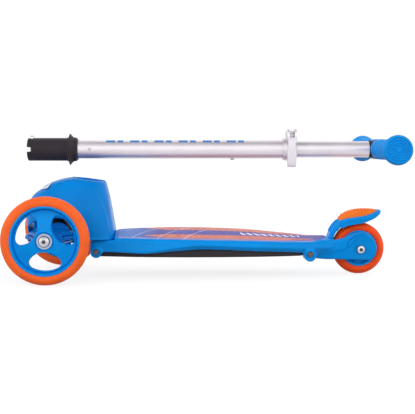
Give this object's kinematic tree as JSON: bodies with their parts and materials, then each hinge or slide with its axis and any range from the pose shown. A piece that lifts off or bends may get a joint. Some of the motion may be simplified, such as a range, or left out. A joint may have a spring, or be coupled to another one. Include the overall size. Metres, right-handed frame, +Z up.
{
  "type": "kick scooter",
  "caption": "Kids three-wheel lean-to-steer kick scooter with its telescopic T-bar column pulled out and lying level above the deck, rear fender brake.",
  "frame": {"origin": "middle of the whole object in plan, on the ground under the wheels", "axes": "+X to the rear wheel, -Y to the left front wheel, +Z up"},
  "size_m": [0.5866, 0.29, 0.2246],
  "materials": {
    "blue_plastic": "satin gloss moulded plastic",
    "orange_tyre": "soft cast polyurethane",
    "blue_grip": "soft ribbed rubber",
    "mat_rubber": "printed grip rubber",
    "orange_rubber": "knobbed rubber",
    "black_plastic": "fine matt",
    "black_rubber": "matt",
    "aluminium": "satin anodised",
    "lever_metal": "satin cast",
    "zinc_steel": "zinc plated",
    "bright_steel": "polished"
  },
  "bodies": {
    "base": {"deck": "blue_plastic", "deck_grip_mat": "mat_rubber", "underside_pan": "black_plastic", "front_cover": "blue_plastic", "steering_socket": "black_plastic", "truck_bracket": "zinc_steel", "king_bolt": "zinc_steel", "king_nut": "zinc_steel", "truck_bumpers": "black_rubber", "lug_bolts": "zinc_steel", "lug_nuts": "zinc_steel", "pan_screws": "zinc_steel", "rear_axle_bolt": "zinc_steel", "rear_axle_nut": "zinc_steel", "rear_axle_spacers": "zinc_steel", "rear_axle_inner_rings": "bright_steel", "rear_axle_sleeves": "bright_steel", "brake_pin": "zinc_steel", "brake_springs": "zinc_steel"},
    "truck": {"front_truck": "blue_plastic", "king_bushes": "black_plastic", "front_axle_bolts": "bright_steel", "front_axle_washers": "zinc_steel", "front_axle_inner_rings": "bright_steel", "front_axle_sleeves": "bright_steel"},
    "left_front_wheel": {"left_front_tyre": "orange_tyre", "left_front_core": "blue_plastic", "left_front_bearing_rings": "bright_steel", "left_front_bearing_balls": "bright_steel"},
    "right_front_wheel": {"right_front_tyre": "orange_tyre", "right_front_core": "blue_plastic", "right_front_bearing_rings": "bright_steel", "right_front_bearing_balls": "bright_steel"},
    "rear_wheel": {"rear_tyre": "orange_tyre", "rear_core": "blue_plastic", "rear_bearing_rings": "bright_steel", "rear_bearing_balls": "bright_steel"},
    "brake": {"brake_fender": "blue_plastic", "brake_tread_pad": "orange_rubber", "brake_shoe": "zinc_steel"},
    "upper_column": {"inner_tube": "aluminium", "guide_bush": "black_plastic", "t_joint": "black_plastic", "t_joint_bolt": "zinc_steel", "crossbar": "aluminium", "left_grip": "blue_grip", "right_grip": "blue_grip"},
    "lower_column": {"outer_tube": "aluminium", "stem_plug": "black_plastic", "stem_rivet": "zinc_steel", "guide_pin": "zinc_steel", "clamp_collar": "aluminium", "clamp_bolt": "zinc_steel", "barrel_nut": "zinc_steel", "button_spring": "zinc_steel"},
    "stem_button": {"stem_button": "zinc_steel"},
    "clamp_lever": {"clamp_lever": "lever_metal"}
  },
  "joints": [
    {"name": "lean_steer", "type": "hinge", "parent": "base", "child": "truck", "pos_m": [-0.2298, 0, 0.064], "axis": [-0.5, 0, 0.866], "range_deg": [-12, 12], "stiffness_Nm_per_rad": 25, "deforming": ["truck_bumpers"]},
    {"name": "left_front_wheel_spin", "type": "hinge", "parent": "truck", "child": "left_front_wheel", "pos_m": [-0.2298, -0.12, 0.0635], "axis": [0, 1, 0], "continuous": true},
    {"name": "right_front_wheel_spin", "type": "hinge", "parent": "truck", "child": "right_front_wheel", "pos_m": [-0.2298, 0.12, 0.0635], "axis": [0, 1, 0], "continuous": true},
    {"name": "rear_wheel_spin", "type": "hinge", "parent": "base", "child": "rear_wheel", "pos_m": [0.2402, 0, 0.04], "axis": [0, 1, 0], "continuous": true},
    {"name": "brake_press", "type": "hinge", "parent": "base", "child": "brake", "pos_m": [0.1932, 0, 0.046], "axis": [0, 1, 0], "range_deg": [0, 3], "stiffness_Nm_per_rad": 2, "springref_deg": -14.32, "deforming": ["brake_springs"]},
    {"name": "column_swing", "type": "hinge", "parent": "base", "child": "upper_column", "pos_m": [-0.21485, 0, 0.243], "axis": [0, -1, 0], "range_deg": [0, 83]},
    {"name": "column_slide", "type": "slide", "parent": "upper_column", "child": "lower_column", "axis": [-1, 0, 0], "range_m": [0, 0.09899]},
    {"name": "stem_button_press", "type": "slide", "parent": "lower_column", "child": "stem_button", "axis": [0, 0, -1], "range_m": [0, 0.0038], "stiffness_N_per_m": 700, "springref_m": -0.003, "deforming": ["button_spring"]},
    {"name": "clamp_lever_open", "type": "hinge", "parent": "lower_column", "child": "clamp_lever", "pos_m": [0.1342, -0.0175, 0.2146], "axis": [-1, 0, 0], "range_deg": [0, 150]}
  ]
}
